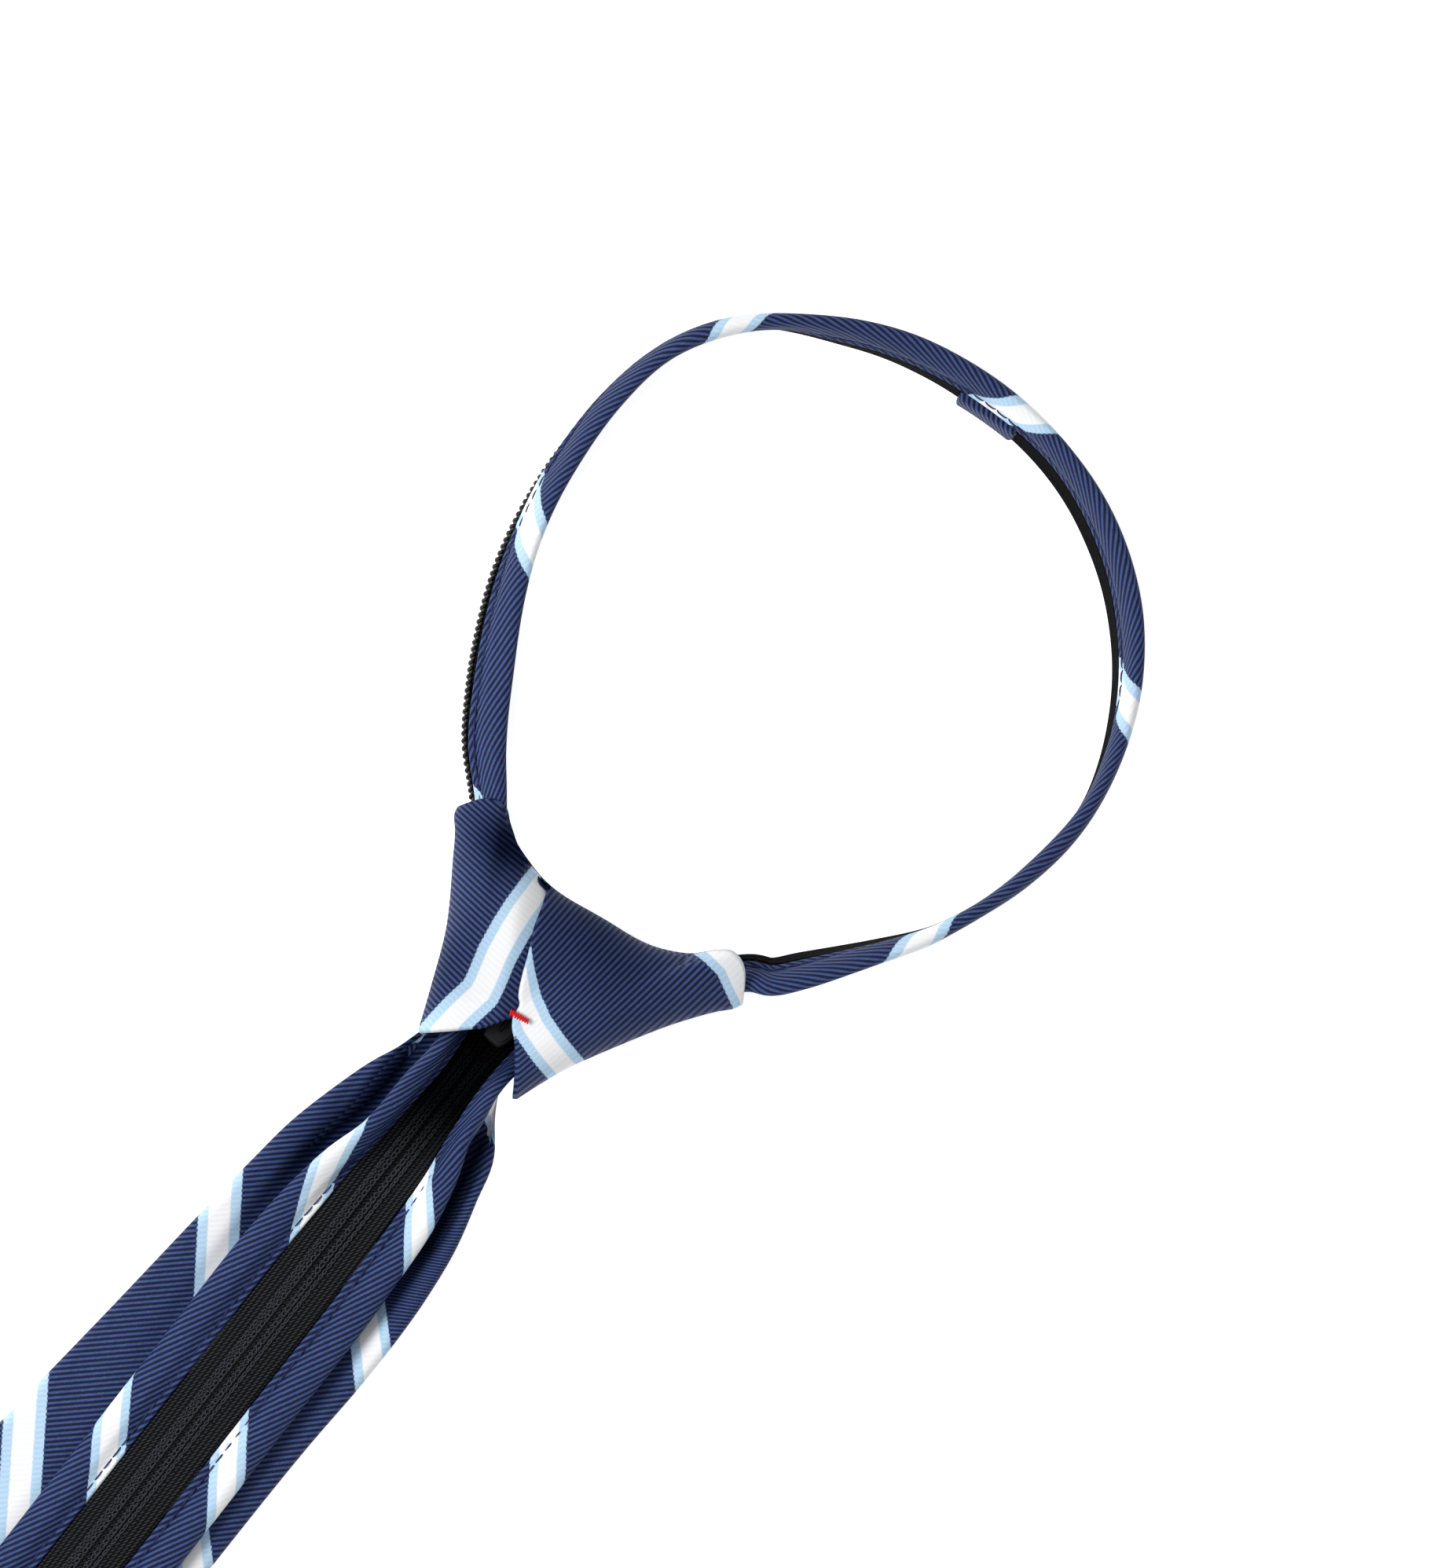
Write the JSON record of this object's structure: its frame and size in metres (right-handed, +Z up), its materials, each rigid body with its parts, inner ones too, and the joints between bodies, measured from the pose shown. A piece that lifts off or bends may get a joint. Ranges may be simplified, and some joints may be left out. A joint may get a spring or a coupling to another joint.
{
  "type": "zipper necktie",
  "caption": "Pre-tied necktie with a fixed knot, a zipped neck loop and a folded, diagonally striped blade, lying face down with its back up.",
  "frame": {"origin": "middle of the whole tie, on the surface that it lies on", "axes": "+Y along the tie from the point of the blade to the neck loop, +X to the right as seen from behind, +Z up from the front of the blade to the back of the tie"},
  "size_m": [0.1332, 0.585, 0.0199],
  "materials": {
    "navy_cloth": "ribbed navy satin cloth with diagonal white stripes edged in light blue",
    "black_tape": "matt black knitted zipper tape",
    "black_nylon": "semi-gloss black nylon coil",
    "dark_metal": "dark lacquered slider",
    "red_thread": "twisted red thread"
  },
  "bodies": {
    "root": {"blade": "navy_cloth", "knot_wrap": "navy_cloth", "neckband": "navy_cloth", "neck_tab": "navy_cloth", "tail_end": "navy_cloth", "zipper_tape_left": "black_tape", "zipper_tape_right": "black_tape", "zipper_coil_left": "black_nylon", "zipper_coil_right": "black_nylon", "zipper_slider": "dark_metal", "bar_tack": "red_thread"}
  },
  "joints": []
}
